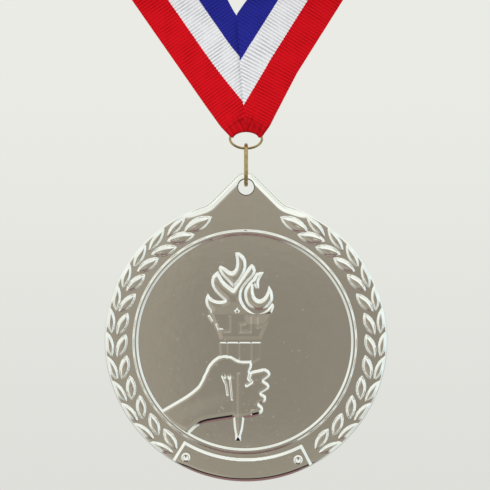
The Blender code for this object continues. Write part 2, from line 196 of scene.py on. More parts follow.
def shell_quads(rows, columns, closed=False, flipped=False):
    """Quads of a thin shell whose points are a net of rows, then the same net for its other side.
    closed joins its last row to its first."""
    index = np.arange(rows * columns).reshape(rows, columns)
    under = rows * columns
    if closed:
        index = np.vstack((index, index[:1]))
    faces = [net_quads(index, flipped=flipped), net_quads(index, flipped=not flipped) + under]
    rims = [(index[:, 0], True), (index[:, -1], False)]
    if not closed:
        rims += [(index[0], False), (index[-1], True)]
    for line, turned in rims:
        faces.append(net_quads(np.column_stack((line, line + under)), flipped=turned != flipped))
    return np.vstack(faces)


# ---------------------------------------------------------------- node materials

def new_material(name, base, roughness, metallic=0.0):
    """A material with its node tree and its shader."""
    material = bpy.data.materials.new(name)
    material.use_nodes = True
    shader = material.node_tree.nodes["Principled BSDF"]
    shader.inputs["Base Color"].default_value = (*base, 1.0)
    shader.inputs["Roughness"].default_value = roughness
    shader.inputs["Metallic"].default_value = metallic
    return material, material.node_tree, shader


def link(source, target):
    source.id_data.links.new(source, target)


def is_number(value):
    return isinstance(value, (int, float))


def math_node(operation, first, second=None, third=None):
    """A maths node; each value is a number or the output of another node."""
    values = [value for value in (first, second, third) if value is not None]
    tree = next(value for value in values if not is_number(value)).id_data
    node = tree.nodes.new("ShaderNodeMath")
    node.operation = operation
    for socket, value in zip(node.inputs, values):
        if is_number(value):
            socket.default_value = value
        else:
            link(value, socket)
    return node.outputs[0]


def times(first, second):
    return math_node("MULTIPLY", first, second)


def plus(first, second):
    return math_node("ADD", first, second)


def noise(vector, scale, detail=2.0, roughness=0.5):
    """Smooth noise between 0 and 1."""
    node = vector.id_data.nodes.new("ShaderNodeTexNoise")
    node.inputs["Scale"].default_value = scale
    node.inputs["Detail"].default_value = detail
    node.inputs["Roughness"].default_value = roughness
    link(vector, node.inputs["Vector"])
    return node.outputs["Fac"]


def remap(value, low, high, to_low=0.0, to_high=1.0, smooth=True):
    """Maps low..high to to_low..to_high and stays level outside it."""
    node = value.id_data.nodes.new("ShaderNodeMapRange")
    node.interpolation_type = "SMOOTHSTEP" if smooth else "LINEAR"
    link(value, node.inputs["Value"])
    for name, number in zip(("From Min", "From Max", "To Min", "To Max"), (low, high, to_low, to_high)):
        node.inputs[name].default_value = number
    return node.outputs["Result"]


def mix_colour(factor, first, second):
    """Mixes two colours, each three numbers or the output of another node."""
    node = factor.id_data.nodes.new("ShaderNodeMix")
    node.data_type = "RGBA"
    link(factor, node.inputs["Factor"])
    for name, value in (("A", first), ("B", second)):
        socket = next(s for s in node.inputs if s.name == name and s.type == "RGBA")
        if isinstance(value, tuple):
            socket.default_value = (*value, 1.0)
        else:
            link(value, socket)
    return next(s for s in node.outputs if s.type == "RGBA")


def scaled(colour, factor):
    """A colour times a number."""
    node = factor.id_data.nodes.new("ShaderNodeVectorMath")
    node.operation = "SCALE"
    if isinstance(colour, tuple):
        node.inputs[0].default_value = colour
    else:
        link(colour, node.inputs[0])
    link(factor, node.inputs["Scale"])
    return node.outputs["Vector"]


def add_bump(shader, height, distance, strength=1.0):
    """Fine relief, in metres, from a height between 0 and 1."""
    node = shader.id_data.nodes.new("ShaderNodeBump")
    node.inputs["Distance"].default_value = distance
    node.inputs["Strength"].default_value = strength
    link(height, node.inputs["Height"])
    link(node.outputs["Normal"], shader.inputs["Normal"])


def object_coordinates(tree, scale=(1.0, 1.0, 1.0)):
    """Metres from the piece's origin, times scale."""
    coordinates = tree.nodes.new("ShaderNodeTexCoord")
    mapping = tree.nodes.new("ShaderNodeMapping")
    mapping.inputs["Scale"].default_value = scale
    link(coordinates.outputs["Object"], mapping.inputs["Vector"])
    return mapping.outputs["Vector"]


def silver_material():
    """Bright silver plate: soft orange-peel, hairline wipe marks and tiny specks."""
    material, tree, shader = new_material("silver_plate", (0.93, 0.925, 0.905), 0.07, 1.0)
    place = object_coordinates(tree)
    hairs = noise(object_coordinates(tree, (260.0, 60.0, 2600.0)), 1.0, 3.0)
    peel = noise(place, 420.0, 3.0)
    specks = remap(noise(place, 1100.0, 0.0), 0.76, 0.82)
    rough = math_node("MULTIPLY_ADD", hairs, 0.05, 0.035)
    rough = math_node("MULTIPLY_ADD", specks, 0.12, rough)
    link(rough, shader.inputs["Roughness"])
    tint = mix_colour(peel, (0.955, 0.95, 0.935), (0.90, 0.895, 0.87))
    link(tint, shader.inputs["Base Color"])
    height = math_node("MULTIPLY_ADD", specks, 0.5, peel)
    add_bump(shader, height, 0.000012, 0.5)
    return material


def brass_material():
    """Antique brass wire: worn bright on top of a darker, patchy patina, drawn lengthwise."""
    material, tree, shader = new_material("antique_brass", (0.45, 0.33, 0.15), 0.3, 1.0)
    place = object_coordinates(tree)
    patches = remap(noise(place, 900.0, 3.0, 0.6), 0.35, 0.65)
    colour = mix_colour(patches, (0.56, 0.43, 0.22), (0.33, 0.235, 0.105))
    link(colour, shader.inputs["Base Color"])
    grain = noise(object_coordinates(tree, (9000.0, 9000.0, 600.0)), 1.0, 2.0)
    rough = math_node("MULTIPLY_ADD", grain, 0.1, 0.1)
    rough = math_node("MULTIPLY_ADD", patches, 0.06, rough)
    link(rough, shader.inputs["Roughness"])
    add_bump(shader, grain, 0.00001, 0.3)
    return material


def ribbon_material(folds):
    """Grosgrain in three stripes, puckered where it is gathered round the ring, with painted shade in the
    grooves between its ribs, and painted shade of the puckers with a narrow painted shadow line at the
    distances along it given by folds. The tape's own map holds millimetres: U across from the red edge, V
    along."""
    material, tree, shader = new_material("woven_ribbon", (0.6, 0.02, 0.03), 0.78)
    tape = tree.nodes.new("ShaderNodeUVMap")
    tape.uv_map = "tape"
    split = tree.nodes.new("ShaderNodeSeparateXYZ")
    link(tape.outputs["UV"], split.inputs["Vector"])
    across, along = split.outputs["X"], split.outputs["Y"]

    turn = times(along, math.tau / RIB_PITCH)
    rib = math_node("COSINE", turn)
    threads = math_node("SINE", times(across, math.tau / 0.24))
    weave = noise(tape.outputs["UV"], 1.6, 3.0, 0.6)

    edge = math_node("MULTIPLY_ADD", times(threads, rib), 0.05, across)
    red_white = remap(edge, RED_TO_WHITE - 0.06, RED_TO_WHITE + 0.06)
    white_blue = remap(edge, WHITE_TO_BLUE - 0.06, WHITE_TO_BLUE + 0.06)
    stripes = mix_colour(red_white, (0.64, 0.006, 0.012), (0.80, 0.81, 0.83))
    stripes = mix_colour(white_blue, stripes, (0.02, 0.023, 0.262))
    # Painted shade: the grooves between the ribs are darkened in the colour, more in some places than others
    # along the tape.
    uneven = remap(noise(tape.outputs["UV"], 0.22, 2.0), 0.3, 0.7, 0.45, 1.15)
    groove = remap(rib, -0.5, 1.0, 0.0, 0.38)
    groove = math_node("SUBTRACT", 1.0, times(groove, uneven))
    mottle = remap(weave, 0.25, 0.75, 0.92, 1.06, smooth=False)
    shade = times(groove, mottle)
    # Painted shade: near each fold round the ring the colour is darkened in blotches across the tape, and a
    # narrow painted shadow line runs right along the fold.
    across_only = tree.nodes.new("ShaderNodeCombineXYZ")
    link(across, across_only.inputs["X"])
    pucker_shade = remap(noise(across_only.outputs["Vector"], 1.5, 2.0, 0.6), 0.32, 0.62, 0.6, 1.02)
    for fold in folds:
        off = math_node("ABSOLUTE", math_node("SUBTRACT", along, fold))
        weight = remap(off, 0.2, 2.4, 1.0, 0.0)
        painted_fold_shade = times(weight, math_node("SUBTRACT", 1.0, pucker_shade))
        painted_fold_shade = math_node("MULTIPLY_ADD", remap(off, 0.05, 0.7, 1.0, 0.0), 0.12, painted_fold_shade)
        shade = times(shade, math_node("SUBTRACT", 1.0, painted_fold_shade))
    colour = scaled(stripes, shade)
    link(colour, shader.inputs["Base Color"])
    rough = remap(weave, 0.2, 0.8, 0.62, 0.85, smooth=False)
    link(rough, shader.inputs["Roughness"])
    shader.inputs["Sheen Weight"].default_value = 0.03
    shader.inputs["Sheen Roughness"].default_value = 0.4
    shader.inputs["Specular IOR Level"].default_value = 0.12
    height = math_node("MULTIPLY_ADD", threads, 0.25, times(rib, -0.8))
    height = math_node("MULTIPLY_ADD", weave, 0.6, height)
    add_bump(shader, height, 0.00005, 0.7)
    return material


def thread_material(name, base, scale):
    """Twisted or knitted yarn."""
    material, tree, shader = new_material(name, base, 0.85)
    place = object_coordinates(tree, scale)
    strands = noise(place, 1.0, 3.0, 0.6)
    dark, light = (tuple(value * share for value in base) for share in (0.72, 1.12))
    colour = mix_colour(strands, dark, light)
    link(colour, shader.inputs["Base Color"])
    rough = remap(strands, 0.2, 0.8, 0.7, 0.95, smooth=False)
    link(rough, shader.inputs["Roughness"])
    shader.inputs["Sheen Weight"].default_value = 0.2
    add_bump(shader, strands, 0.00006, 0.8)
    return material


# ---------------------------------------------------------------- struck relief of the medal

def ease(value, low, high):
    """0 up to low, 1 from high on, smooth between."""
    share = np.clip((value - low) / (high - low), 0.0, 1.0)
    return share * share * (3.0 - 2.0 * share)


def swell(depth, width):
    """0 at a shape's foot, 1 from width inwards, smooth between."""
    return ease(depth, 0.0, width)


def unit(vectors):
    """Vectors made one long, along the last axis."""
    return vectors / np.linalg.norm(vectors, axis=-1, keepdims=True)


def smooth_outline(stretches, steps=6):
    """A closed outline through each stretch's points, smooth inside a stretch, sharp between two."""
    outline = []
    for stretch in stretches:
        points = [stretch[0], *stretch, stretch[-1]]
        for index in range(1, len(points) - 2):
            before, start, end, after = points[index - 1 : index + 3]
            for step in range(steps):
                t = step / steps
                outline.append(tuple(
                    0.5 * (2 * b + (c - a) * t + (2 * a - 5 * b + 4 * c - d) * t * t
                           + (3 * b - a - 3 * c + d) * t ** 3)
                    for a, b, c, d in zip(before, start, end, after)
                ))
    return outline


def line_distance(x, z, points, closed=False):
    """Distance from each point to a line of segments, and whether the point is inside a closed one."""
    best = np.full(x.shape, 1e9)
    inside = np.zeros(x.shape, bool)
    ends = points[1:] + points[:1] if closed else points[1:]
    for (ax, az), (bx, bz) in zip(points, ends):
        ux, uz = bx - ax, bz - az
        share = np.clip(((x - ax) * ux + (z - az) * uz) / (ux * ux + uz * uz), 0.0, 1.0)
        best = np.minimum(best, (x - ax - share * ux) ** 2 + (z - az - share * uz) ** 2)
        crosses = (az > z) != (bz > z)
        inside ^= crosses & (x < ax + (z - az) / (uz or 1.0) * ux)
    return np.sqrt(best), inside


def profile(depth, rise, crown, slope, reach):
    """A steep foot, then a gentle crown."""
    gentle = 1.0 - (1.0 - np.clip(depth / reach, 0.0, 1.0)) ** 2
    return (rise - crown) * swell(depth, slope) + crown * gentle


def raise_shape(height, x, z, outline, rise, slope, crown=0.0, reach=1.6, rolled=None, fade=None):
    """Lifts a plateau with sloping sides where it stands higher than what is there. Where rolled gives 1
    its side is one broad curve; fade scales it."""
    xs, zs = zip(*outline)
    near = (x > min(xs)) & (x < max(xs)) & (z > min(zs)) & (z < max(zs))
    across, up = x[near], z[near]
    distance, inside = line_distance(across, up, outline, closed=True)
    depth = np.where(inside, distance, 0.0)
    lifted = profile(depth, rise, crown, slope, reach)
    if rolled is not None:
        share = rolled(across, up)
        lifted = lifted * (1.0 - share) + share * profile(depth, rise * 1.15, rise * 1.05, 0.25, 1.7)
    if fade is not None:
        lifted = lifted * fade(across, up)
    height[near] = np.maximum(height[near], FIELD + lifted)


def under_arm(x, z):
    """1 along the lower side of the forearm and under the fist."""
    forearm = swell(-10.8 + 0.36 * (x + 3.0) - z, 5.0) * swell(-2.6 - x, 1.0)
    fist = swell(x - 1.0, 0.6) * swell(-17.0 - z, 0.6)
    return np.maximum(forearm, fist)


def bowl_fade(x, z):
    """The bowl's right-hand side runs out below the flames."""
    return 1.0 - swell(z - 3.8, 3.0) * swell(x + 0.8, 1.6)


def flame_fade(x, z):
    """The flames rise out of the bowl."""
    return 0.08 + 0.92 * swell(z - 5.2, 4.6)


def stroke(height, x, z, points, rise, half):
    """Adds a rounded line along points; rise below 0 cuts a groove."""
    xs, zs = zip(*points)
    margin = 3.0 * half
    near = (x > min(xs) - margin) & (x < max(xs) + margin)
    near &= (z > min(zs) - margin) & (z < max(zs) + margin)
    distance, _ = line_distance(x[near], z[near], points)
    height[near] += rise * np.exp(-((distance / half) ** 2))


FLAME_BASE = smooth_outline([
    [(-9.0, 6.2), (-9.0, 7.2), (-9.8, 8.5), (-10.05, 10.0), (-9.5, 11.6)],
    [(-9.5, 11.6), (-8.7, 10.6), (-7.7, 9.95), (-6.4, 9.7), (-5.4, 9.9)],
    [(-5.4, 9.9), (-7.1, 11.45), (-8.2, 12.9), (-8.6, 14.45), (-8.2, 16.0), (-6.9, 17.2)],
    [(-6.9, 17.2), (-6.6, 16.4), (-5.3, 14.45), (-3.15, 12.7)],
    [(-3.15, 12.7), (-1.6, 14.9), (0.13, 17.4), (1.3, 18.75), (2.1, 18.2), (2.45, 17.1)],
    [(2.45, 17.1), (1.85, 15.9), (0.4, 14.3), (-0.75, 12.7), (-1.15, 11.0), (-0.75, 9.3), (0.4, 7.75),
     (2.4, 6.6), (4.7, 7.2), (6.55, 9.2)],
    [(6.55, 9.2), (6.95, 8.3), (6.4, 6.4)],
    [(6.4, 6.4), (-1.0, 6.1), (-9.0, 6.2)],
])
FLAME_TOP = smooth_outline([
    [(-2.7, 21.6), (-1.87, 21.75), (-0.73, 21.0), (0.0, 19.7), (-0.04, 17.6), (-1.15, 15.2),
     (-3.1, 12.95)],
    [(-3.1, 12.95), (-4.4, 14.45), (-6.0, 16.15), (-6.7, 17.6), (-6.4, 18.5)],
    [(-6.4, 18.5), (-5.3, 18.0), (-3.6, 17.0), (-2.6, 17.9), (-2.4, 19.6), (-2.7, 21.6)],
])
FLAME_SIDE = smooth_outline([
    [(4.55, 16.95), (2.55, 16.6), (2.0, 15.6), (0.4, 13.75), (-0.37, 12.2), (-0.3, 10.3), (0.4, 8.75),
     (1.85, 7.75), (3.4, 7.4), (5.1, 8.05), (6.1, 9.05), (6.7, 10.3), (6.45, 12.2), (5.6, 13.5)],
    [(5.6, 13.5), (5.25, 12.0), (4.55, 10.75), (3.4, 10.1), (2.4, 10.6), (1.9, 11.9), (1.85, 13.75)],
    [(1.85, 13.75), (2.55, 12.75), (3.2, 12.9), (3.25, 14.45), (3.7, 15.6), (4.55, 16.95)],
])
DROP = smooth_outline([
    [(-2.2, 8.6), (-2.7, 7.9), (-3.1, 7.1), (-2.2, 6.4), (-1.3, 7.1), (-1.75, 7.9), (-2.2, 8.6)],
])
BOWL = smooth_outline([
    [(-9.5, 7.6), (-8.2, 4.2), (-7.2, 2.0), (-6.6, -0.1)],
    [(-6.6, -0.1), (3.8, -0.1)],
    [(3.8, -0.1), (4.6, 2.0), (5.6, 4.2), (6.9, 7.6)],
    [(6.9, 7.6), (-9.5, 7.6)],
])
STEM = smooth_outline([
    [(-6.75, -0.2), (-6.5, -4.6)],
    [(-6.5, -4.6), (-1.0, -6.6), (3.6, -4.8)],
    [(3.6, -4.8), (3.95, -0.2)],
    [(3.95, -0.2), (-6.75, -0.2)],
])
SHAFT = smooth_outline([
    [(-3.3, -18.0), (-3.15, -19.8), (-2.8, -22.8), (-1.95, -24.7), (-0.9, -22.6), (-0.4, -19.2),
     (-0.4, -18.0)],
    [(-0.4, -18.0), (-3.3, -18.0)],
])
HAND = smooth_outline([
    [(-21.6, -17.7), (-17.9, -15.55), (-14.9, -13.75), (-12.9, -12.25), (-11.6, -10.9), (-10.4, -8.5),
     (-9.2, -6.1), (-7.8, -4.6), (-6.2, -3.76), (-3.76, -3.83), (-1.65, -4.9), (1.35, -4.96)],
    [(1.35, -4.96), (1.5, -6.3), (1.05, -7.7)],
    [(1.05, -7.7), (2.9, -7.3), (4.66, -7.0), (5.75, -7.7), (5.94, -8.8), (4.5, -10.0)],
    [(4.5, -10.0), (5.6, -10.9), (5.6, -12.0), (3.9, -13.15)],
    [(3.9, -13.15), (4.9, -13.9), (4.75, -15.2), (3.38, -15.86)],
    [(3.38, -15.86), (4.2, -16.7), (3.9, -18.0), (2.4, -18.75), (-0.45, -19.3)],
    [(-0.45, -19.3), (-3.16, -19.3)],
    [(-3.16, -19.3), (-7.4, -19.95), (-10.4, -20.55), (-12.2, -21.45), (-14.4, -23.6)],
    [(-14.4, -23.6), (-18.6, -21.4), (-21.6, -17.7)],
])
GROOVES = [
    ([(-6.5, -0.15), (3.7, -0.15)], -0.13, 0.3),
    ([(-4.16, 5.8), (-4.16, 2.3), (-5.5, 2.2)], -0.032, 0.28),
    ([(0.98, 5.8), (0.98, 2.2), (-1.5, 2.15), (-1.6, 4.0), (-0.4, 4.1)], -0.032, 0.28),
    ([(2.6, 5.6), (2.7, 3.4), (4.4, 3.5)], -0.028, 0.28),
    ([(-7.25, 3.85), (-6.7, 2.7), (-5.9, 2.6)], 0.07, 0.22),
    ([(-4.8, -0.6), (-4.7, -4.2)], -0.036, 0.17),
    ([(-1.8, -0.6), (-1.8, -4.6)], -0.036, 0.17),
    ([(1.2, -0.6), (1.2, -4.9)], -0.036, 0.17),
    ([(-9.15, 5.9), (-8.3, 4.6)], 0.09, 0.22),
    ([(-5.86, -8.94), (-4.96, -10.9), (-4.6, -13.4)], -0.075, 0.2),
    ([(-4.06, -9.1), (-3.45, -14.6)], -0.075, 0.2),
    ([(-5.6, -8.8), (-5.3, -9.1)], -0.12, 0.3),
    ([(-4.2, -8.9), (-4.1, -9.2)], -0.12, 0.3),
    ([(-1.75, -8.4), (-1.75, -22.6)], 0.045, 0.3),
    ([(1.05, -7.9), (0.68, -9.4), (1.35, -10.3), (0.15, -11.1)], -0.15, 0.3),
]


def fillet_centre():
    """Centre of the right-hand fillet between the tab's side and the disc."""
    slope = math.sqrt(0.5)
    reach = slope * HOLE_HEIGHT + TAB_RADIUS + TAB_FILLET
    along = math.sqrt((DISC_RADIUS + TAB_FILLET) ** 2 - reach ** 2)
    return slope * (reach - along), slope * (reach + along)


def border_depth(x, z):
    """Distance inwards from the blank's edge: tab arc, straight side, concave fillet or disc."""
    slope = math.sqrt(0.5)
    fillet_x, fillet_z = fillet_centre()
    side = np.abs(x)
    run = (side - (z - HOLE_HEIGHT)) * slope
    straight = (fillet_x - (fillet_z - HOLE_HEIGHT)) * slope
    from_fillet = np.degrees(np.arctan2(z - fillet_z, side - fillet_x)) % 360.0
    meet = math.degrees(math.atan2(fillet_z, fillet_x)) + 180.0
    depth = DISC_RADIUS - np.hypot(x, z)
    in_fillet = (from_fillet > 225.0) & (from_fillet < meet)
    depth = np.where(in_fillet, np.hypot(side - fillet_x, z - fillet_z) - TAB_FILLET, depth)
    on_side = (run >= 0.0) & (run <= straight) & (z > 0.0)
    depth = np.where(on_side, TAB_RADIUS - (side + z - HOLE_HEIGHT) * slope, depth)
    return np.where((run < 0.0) & (z > 0.0), TAB_RADIUS - np.hypot(x, z - HOLE_HEIGHT), depth)


def leaves():
    """Each leaf's middle, heading, length, width and rise. Tips point up towards the tab."""
    made = []
    for side in (-1.0, 1.0):
        for index in range(INNER_LEAVES):
            angle = 22.5 + LEAF_STEP_DEG * index
            radius, lean = 31.1, 5.0
            if index:
                radius = 30.8 - 0.9 * math.exp(-((index - 1.5) / 1.2) ** 2)
                lean = -22.0 + 4.0 * math.sin(2.3 * index)
            length = 6.0 + 1.7 * math.exp(-index / 2.0)
            width = 2.45 + 0.75 * math.exp(-index / 1.5)
            made.append((side, angle, radius, lean, length, width, INNER_LEAF_RISE))
        for index in range(OUTER_LEAVES):
            angle = 31.6 + LEAF_STEP_DEG * index
            radius = 33.0 + 0.9 * (1.0 - math.exp(-index / 2.0))
            lean = 13.0 + 3.0 * math.sin(1.7 * index + 1.0)
            length = 6.5 + 0.3 * math.sin(1.9 * index)
            made.append((side, angle, radius, lean, length, OUTER_LEAF_WIDTH, OUTER_LEAF_RISE))
    return made


def raise_leaf(height, x, z, leaf, window):
    """A pointed oval: a gentle crown, a steep foot, and a crease from its base to its middle."""
    side, angle, radius, lean, length, width, rise = leaf
    turn = math.radians(90.0 - angle)
    middle = (side * radius * math.cos(turn), radius * math.sin(turn))
    heading = math.radians(angle + lean)
    along = (-side * math.cos(heading), math.sin(heading))
    near = (np.abs(x - middle[0]) < length * 0.6) & (np.abs(z - middle[1]) < length * 0.6)
    u = (x[near] - middle[0]) * along[0] + (z[near] - middle[1]) * along[1]
    v = (x[near] - middle[0]) * along[1] - (z[near] - middle[1]) * along[0]
    bow = (length * length + width * width) / (4.0 * width)
    depth = bow - np.hypot(u, np.abs(v) + bow - width / 2.0)
    inner = np.clip(depth, 0.0, width / 2.0) / (width / 2.0)
    crown = 0.52 * (1.0 - (1.0 - inner) ** 2) + 0.48 * swell(depth, 0.42)
    crease = np.exp(-((v / 0.13) ** 2)) * swell(depth, 0.8) * swell(0.2 - u, 1.2)
    lifted = FIELD + (rise * crown - 0.04 * crease) * window[near]
    height[near] = np.where(depth > 0.0, np.maximum(height[near], lifted), height[near])


def face_height(x, z):
    """Height of the struck face towards the viewer."""
    height = np.full(x.shape, FIELD)
    edge = border_depth(x, z)
    from_top = np.degrees(np.arctan2(np.abs(x), z))

    ring = np.hypot(x - RING_SHIFT[0], z - RING_SHIFT[1]) - RING_RADIUS
    window = swell(edge - 0.15, 0.9) * 0.75 + 0.25
    for leaf in leaves():
        raise_leaf(height, x, z, leaf, window)
    height = np.maximum(height, FIELD + RING_RISE * swell(RING_HALF - np.abs(ring), RING_HALF - 0.22))

    from_bottom = np.degrees(np.arctan2(x, -z))
    radius = np.hypot(x, z)
    ends = np.minimum(from_bottom - BANNER_ENDS_DEG[0], BANNER_ENDS_DEG[1] - from_bottom)
    ends = np.radians(ends) * radius
    banner = np.minimum(np.minimum(ends, radius - BANNER_INNER), BANNER_OUTER - radius + 0.6)
    near = (z < 0.0) & (banner > 0.0)
    plate = FIELD + BANNER_RISE * swell(np.where(near, banner, 0.0), 0.75)
    height = np.where(near, plate, height)
    for middle in RIVETS:
        spot = np.hypot(x - middle[0], z - middle[1])
        cup = np.exp(-(((spot - 0.72) / 0.26) ** 2)) * 0.16 - 0.10 * np.exp(-((spot / 0.4) ** 2))
        height = height + cup

    raise_shape(height, x, z, STEM, 0.06, 0.6)
    raise_shape(height, x, z, BOWL, 0.10, 1.1, fade=bowl_fade)
    raise_shape(height, x, z, SHAFT, 0.3, 0.55)
    raise_shape(height, x, z, HAND, 0.40, 0.6, crown=0.1, reach=1.2, rolled=under_arm)
    raise_shape(height, x, z, FLAME_BASE, 0.44, 0.66, crown=0.2, fade=flame_fade)
    raise_shape(height, x, z, FLAME_TOP, 0.48, 0.66, crown=0.2)
    raise_shape(height, x, z, FLAME_SIDE, 0.46, 0.66, crown=0.2)
    raise_shape(height, x, z, DROP, 0.42, 0.5)
    for points, rise, half in GROOVES:
        stroke(height, x, z, points, rise, half)
    tip = np.maximum(np.abs(x + 1.95) * 1.4, np.where(z > -23.7, (z + 23.7) * 2.5, (-23.7 - z) * 0.8))
    height = np.maximum(height, FIELD + 0.36 * (1.0 - np.clip(tip, 0.0, 1.0)))

    at_tab = 1.0 - swell(from_top - 19.0, 11.0)
    at_foot = 1.0 - swell(np.abs(from_bottom) - 24.0, 8.0)
    roll = 0.13 * (1.0 - np.clip(edge / 0.75, 0.0, 1.0)) ** 2
    roll = roll + at_foot * (0.42 * (1.0 - np.clip(edge / 1.25, 0.0, 1.0)) ** 2 - roll)
    roll = roll + at_tab * (0.36 * (1.0 - np.clip((edge - 0.55) / 1.7, 0.0, 1.0)) ** 2 - roll)
    return height - roll


def back_height(x, z):
    """Height of the back: a flat rim round a plain recessed field, with one fine turned line in it."""
    radius = np.hypot(x, z)
    line = np.exp(-(((radius - BACK_RECESS + BACK_LINE) / 0.3) ** 2)) * 0.12
    return BACK_FACE - (BACK_FACE - BACK_FIELD) * swell(BACK_RECESS + 0.4 - radius, 0.8) + line


def blank_edge(offset):
    """The blank's edge moved inwards, as an array of X and Z, from the top round to the top again."""
    fillet = fillet_centre()
    meet = math.degrees(math.atan2(fillet[1], fillet[0]))
    tab = arc((0.0, HOLE_HEIGHT), TAB_RADIUS - offset, np.linspace(90.0, 45.0, 15))
    shoulder = arc(fillet, TAB_FILLET + offset, np.linspace(225.0, meet + 180.0, 13))
    share = np.linspace(0.0, 1.0, 43)[1:-1, None]
    straight = tab[-1] + share * (shoulder[0] - tab[-1])
    disc = arc((0.0, 0.0), DISC_RADIUS - offset, np.linspace(meet, -90.0, 491))[1:]
    half = np.vstack((tab, straight, shoulder, disc))
    return np.vstack((half, half[-2:0:-1] * (-1.0, 1.0)))


def hole_edge(offset):
    """The hole's edge moved outwards into the metal."""
    return arc((0.0, HOLE_HEIGHT), HOLE_RADIUS + offset, np.arange(0.0, 360.0, 6.0))


def turned_points(centre, radii, spacing):
    """Points on circles, for features that are turned round a centre."""
    points = []
    count = round(math.tau * max(radii) / spacing)
    for index, radius in enumerate(radii):
        points.append(arc(centre, radius, (np.arange(count) + index % 2 * 0.5) * 360.0 / count))
    return np.vstack(points)


def hex_points(spacing, turned):
    """A grid of points in triangles over the whole blank, clear of its edges and of the turned bands."""
    rows = np.arange(-DISC_RADIUS, HOLE_HEIGHT + TAB_RADIUS, spacing * math.sqrt(0.75))
    columns = np.arange(-DISC_RADIUS, DISC_RADIUS, spacing)
    z = np.repeat(rows, len(columns))
    x = np.tile(columns, len(rows)) + np.repeat(np.arange(len(rows)) % 2 * spacing / 2.0, len(columns))
    margin = spacing * 0.45
    keep = border_depth(x, z) > RIM_ROUND + margin
    keep &= np.hypot(x, z - HOLE_HEIGHT) > HOLE_RADIUS + HOLE_ROUND + margin
    for centre, radii, gap in turned:
        radius = np.hypot(x - centre[0], z - centre[1])
        keep &= (radius < min(radii) - gap / 2.0) | (radius > max(radii) + gap / 2.0)
    return x[keep], z[keep]


def surface_net(height, fine, coarse, turned):
    """Points, close together where the surface bends, and the triangles between them."""
    x, z = hex_points(fine, turned)
    reach = fine * 1.6
    around = [height(x + dx, z + dz) for dx, dz in ((reach, 0), (-reach, 0), (0, reach), (0, -reach), (0, 0))]
    bends = np.max(around, axis=0) - np.min(around, axis=0) > 0.0015
    flat_x, flat_z = hex_points(coarse, turned)
    outer, hole = blank_edge(RIM_ROUND), hole_edge(HOLE_ROUND)
    bands = np.vstack([turned_points(*band) for band in turned])
    x = np.concatenate((outer[:, 0], hole[:, 0], bands[:, 0], x[bends], flat_x))
    z = np.concatenate((outer[:, 1], hole[:, 1], bands[:, 1], z[bends], flat_z))
    loops = []
    for start, count in ((0, len(outer)), (len(outer), len(hole))):
        loops += [(start + step, start + (step + 1) % count) for step in range(count)]
    found = geometry.delaunay_2d_cdt([Vector(pair) for pair in zip(x, z)], loops, [], 1, 1e-5)
    points = np.array([tuple(point) for point in found[0]])
    triangles = np.array(found[2])
    centre = points[triangles].mean(axis=1)
    from_hole = np.hypot(centre[:, 0], centre[:, 1] - HOLE_HEIGHT) - HOLE_RADIUS
    return points, triangles[from_hole > HOLE_ROUND * 0.97]


def surface_normals(height, x, z):
    """Upward normals of a height field, as components along X, its height and Z."""
    step = 0.04
    slope_x = (height(x + step, z) - height(x - step, z)) / (2.0 * step)
    slope_z = (height(x, z + step) - height(x, z - step)) / (2.0 * step)
    normal = np.column_stack((-slope_x, np.ones(len(x)), -slope_z))
    return unit(normal)


def outward(loop):
    """Unit normals in the plane of a closed loop, away from its right-hand side."""
    along = np.roll(loop, -1, axis=0) - np.roll(loop, 1, axis=0)
    normal = np.column_stack((-along[:, 1], along[:, 0]))
    return unit(normal)


